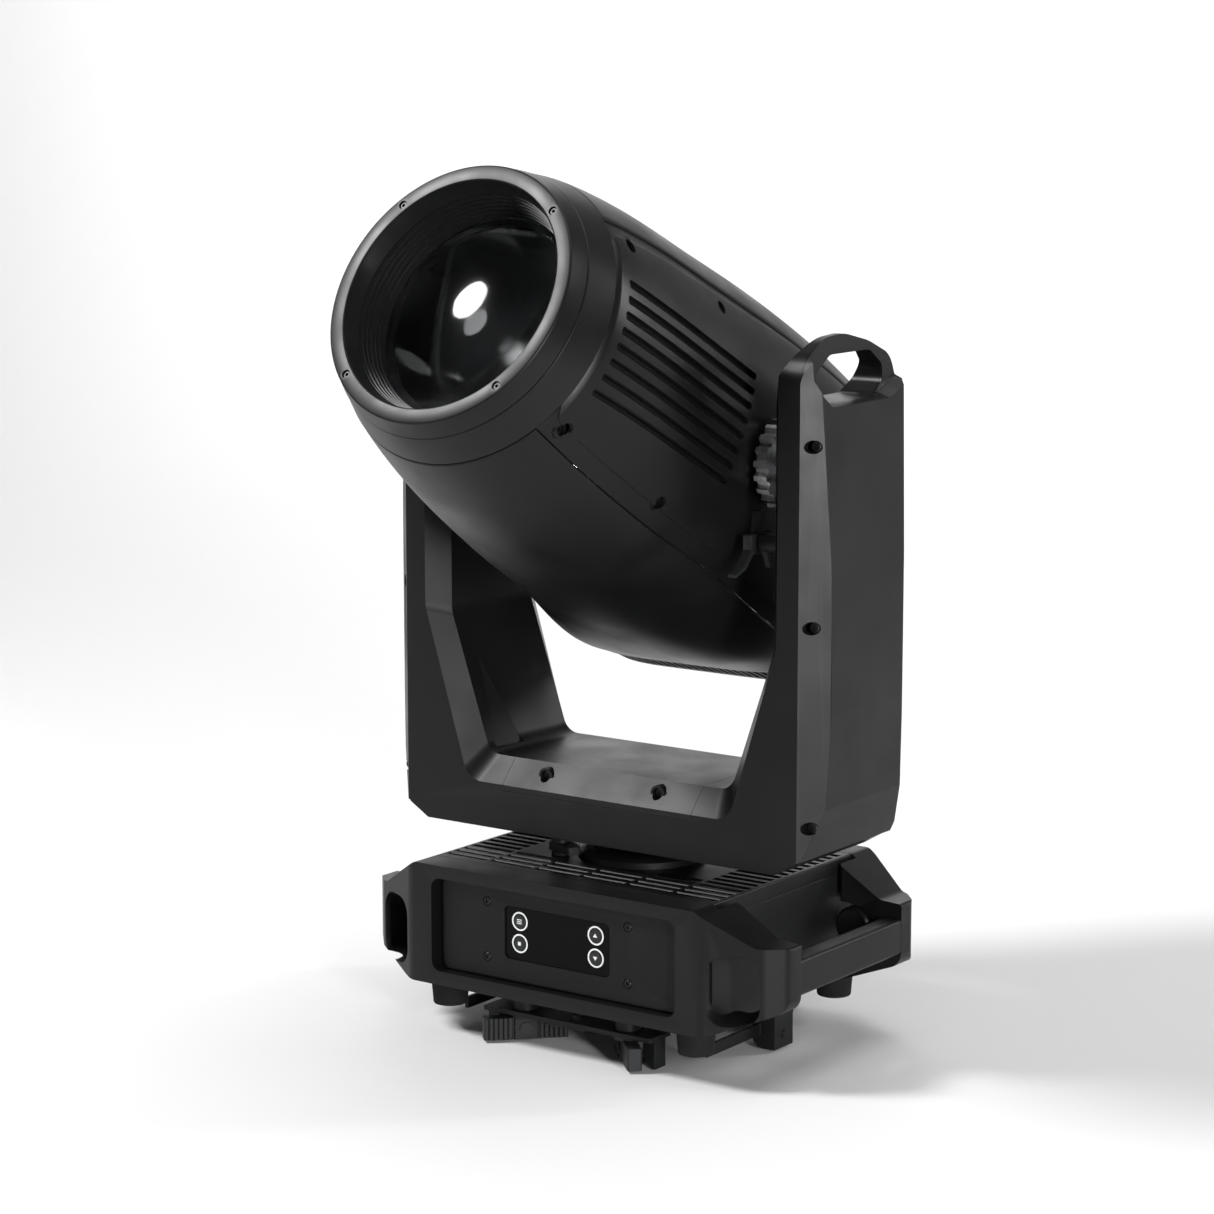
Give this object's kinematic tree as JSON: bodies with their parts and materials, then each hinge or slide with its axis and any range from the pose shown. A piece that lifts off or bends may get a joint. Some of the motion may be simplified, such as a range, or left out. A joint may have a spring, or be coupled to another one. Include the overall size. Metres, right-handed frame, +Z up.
{
  "type": "moving head light",
  "caption": "Moving head stage light: a long tapered head with a large front lens tilts in a yoke that pans on a low base with carry handles and quarter-turn brackets.",
  "frame": {"origin": "on the pan axis, in the plane of the base chassis's underside", "axes": "+Z up along the pan axis, front of the base with its display towards -Y, tilt axis along X"},
  "size_m": [0.438, 0.5557, 0.7399],
  "materials": {
    "shell_black": "satin black moulded plastic with a fine grain",
    "panel_black": "matte black panel sheet",
    "frame_metal": "black powder coat",
    "display_gloss": "glossy black window",
    "key_plastic": "smooth black",
    "socket_steel": "nickel plated",
    "bearing_steel": "zinc plated, lightly brushed",
    "machined_aluminium": "machined",
    "motor_black": "black anodised",
    "foot_rubber": "matte",
    "knob_plastic": "matte dark grey, ribbed",
    "lens_glass": "polished, anti-reflection coated"
  },
  "bodies": {
    "base": {"base_chassis": "frame_metal", "base_vent_cover": "shell_black", "front_fascia": "shell_black", "rear_fascia": "shell_black", "carry_bar_left": "shell_black", "carry_bar_right": "shell_black", "control_panel": "panel_black", "display_window": "display_gloss", "connector_panel": "panel_black", "power_inlet": "key_plastic", "data_socket_in": "socket_steel", "data_socket_out": "socket_steel", "side_keeper_right": "frame_metal", "side_keeper_left": "frame_metal", "foot_front_left": "foot_rubber", "foot_front_right": "foot_rubber", "foot_rear_left": "foot_rubber", "foot_rear_right": "foot_rubber", "bracket_front": "frame_metal", "bracket_rear": "frame_metal", "pan_post": "frame_metal"},
    "yoke": {"yoke_frame": "shell_black", "crossbar_cover": "shell_black", "arm_cover_right": "shell_black", "arm_cover_left": "shell_black", "tilt_bearing_right": "bearing_steel", "tilt_bearing_left": "bearing_steel", "tilt_motor": "motor_black", "tilt_belt": "foot_rubber", "pan_motor": "motor_black"},
    "head": {"bezel_ring": "shell_black", "front_barrel": "shell_black", "lens_holder": "motor_black", "front_lens": "lens_glass", "top_cover": "shell_black", "bottom_cover": "shell_black", "side_panel_right": "shell_black", "side_panel_left": "shell_black", "rear_grille": "shell_black", "head_frame": "machined_aluminium", "tilt_lock_disc": "bearing_steel", "led_engine": "machined_aluminium", "heat_sink": "machined_aluminium", "effect_plate": "motor_black"},
    "menu_key_1": {"menu_key_1": "key_plastic"},
    "menu_key_2": {"menu_key_2": "key_plastic"},
    "menu_key_3": {"menu_key_3": "key_plastic"},
    "menu_key_4": {"menu_key_4": "key_plastic"},
    "power_rocker": {"power_rocker": "key_plastic"},
    "pan_lock": {"pan_lock": "knob_plastic"},
    "tilt_lock": {"tilt_lock": "knob_plastic"},
    "wing_front_left": {"wing_knob_front_left": "knob_plastic"},
    "wing_front_right": {"wing_knob_front_right": "knob_plastic"},
    "wing_rear_left": {"wing_knob_rear_left": "knob_plastic"},
    "wing_rear_right": {"wing_knob_rear_right": "knob_plastic"},
    "tilt_motor_pulley": {"tilt_motor_pulley": "machined_aluminium"},
    "pan_motor_pulley": {"pan_motor_pulley": "machined_aluminium"},
    "cooling_fan": {"cooling_fan": "key_plastic"},
    "gobo_wheel": {"gobo_wheel": "machined_aluminium"},
    "zoom_carriage": {"zoom_carriage": "motor_black"}
  },
  "joints": [
    {"name": "pan", "type": "hinge", "parent": "base", "child": "yoke", "pos_m": [0, 0, 0.13], "axis": [0, 0, 1], "range_deg": [-270, 270]},
    {"name": "tilt", "type": "hinge", "parent": "yoke", "child": "head", "pos_m": [0, 0, 0.4516], "axis": [1, 0, 0], "range_deg": [-190, 70]},
    {"name": "tilt_motor_spin", "type": "hinge", "parent": "yoke", "child": "tilt_motor_pulley", "pos_m": [-0.201, 0, 0.33], "axis": [1, 0, 0], "range_deg": [-575, 215]},
    {"name": "pan_motor_spin", "type": "hinge", "parent": "yoke", "child": "pan_motor_pulley", "pos_m": [0.082, 0, 0.146], "axis": [0, 0, 1], "range_deg": [-1085, 1085]},
    {"name": "fan_spin", "type": "hinge", "parent": "head", "child": "cooling_fan", "pos_m": [0, 0.14615, 0.36874], "axis": [0, -0.8699, 0.4932], "continuous": true},
    {"name": "gobo_spin", "type": "hinge", "parent": "head", "child": "gobo_wheel", "pos_m": [0, 0.00852, 0.42608], "axis": [0, -0.8699, 0.4932], "continuous": true},
    {"name": "zoom_travel", "type": "slide", "parent": "head", "child": "zoom_carriage", "axis": [0, -0.8699, 0.4932], "range_m": [-0.05, 0.08]},
    {"name": "menu_key_1_press", "type": "slide", "parent": "base", "child": "menu_key_1", "axis": [0, 1, 0], "range_m": [0, 0.001], "stiffness_N_per_m": 900, "springref_m": -0.0003},
    {"name": "menu_key_2_press", "type": "slide", "parent": "base", "child": "menu_key_2", "axis": [0, 1, 0], "range_m": [0, 0.001], "stiffness_N_per_m": 900, "springref_m": -0.0003},
    {"name": "menu_key_3_press", "type": "slide", "parent": "base", "child": "menu_key_3", "axis": [0, 1, 0], "range_m": [0, 0.001], "stiffness_N_per_m": 900, "springref_m": -0.0003},
    {"name": "menu_key_4_press", "type": "slide", "parent": "base", "child": "menu_key_4", "axis": [0, 1, 0], "range_m": [0, 0.001], "stiffness_N_per_m": 900, "springref_m": -0.0003},
    {"name": "power_rocker_tip", "type": "hinge", "parent": "base", "child": "power_rocker", "pos_m": [-0.048, 0.1175, 0.047], "axis": [1, 0, 0], "range_deg": [0, 8]},
    {"name": "pan_lock_swing", "type": "hinge", "parent": "base", "child": "pan_lock", "pos_m": [-0.058, -0.04, 0.112], "axis": [0, 0, 1], "range_deg": [-30, 0]},
    {"name": "tilt_lock_swing", "type": "hinge", "parent": "yoke", "child": "tilt_lock", "pos_m": [0.15, -0.036, 0.391], "axis": [1, 0, 0], "range_deg": [0, 25]},
    {"name": "wing_front_left_turn", "type": "hinge", "parent": "base", "child": "wing_front_left", "pos_m": [-0.053, -0.098, -0.03], "axis": [0, 0, 1], "range_deg": [0, 90]},
    {"name": "wing_front_right_turn", "type": "hinge", "parent": "base", "child": "wing_front_right", "pos_m": [0.053, -0.098, -0.03], "axis": [0, 0, 1], "range_deg": [-90, 0]},
    {"name": "wing_rear_left_turn", "type": "hinge", "parent": "base", "child": "wing_rear_left", "pos_m": [-0.053, 0.098, -0.03], "axis": [0, 0, 1], "range_deg": [-90, 0]},
    {"name": "wing_rear_right_turn", "type": "hinge", "parent": "base", "child": "wing_rear_right", "pos_m": [0.053, 0.098, -0.03], "axis": [0, 0, 1], "range_deg": [0, 90]}
  ],
  "couplings": [
    {"joint": "tilt_motor_spin", "follows": "tilt", "ratio": 3},
    {"joint": "pan_motor_spin", "follows": "pan", "ratio": -4}
  ]
}
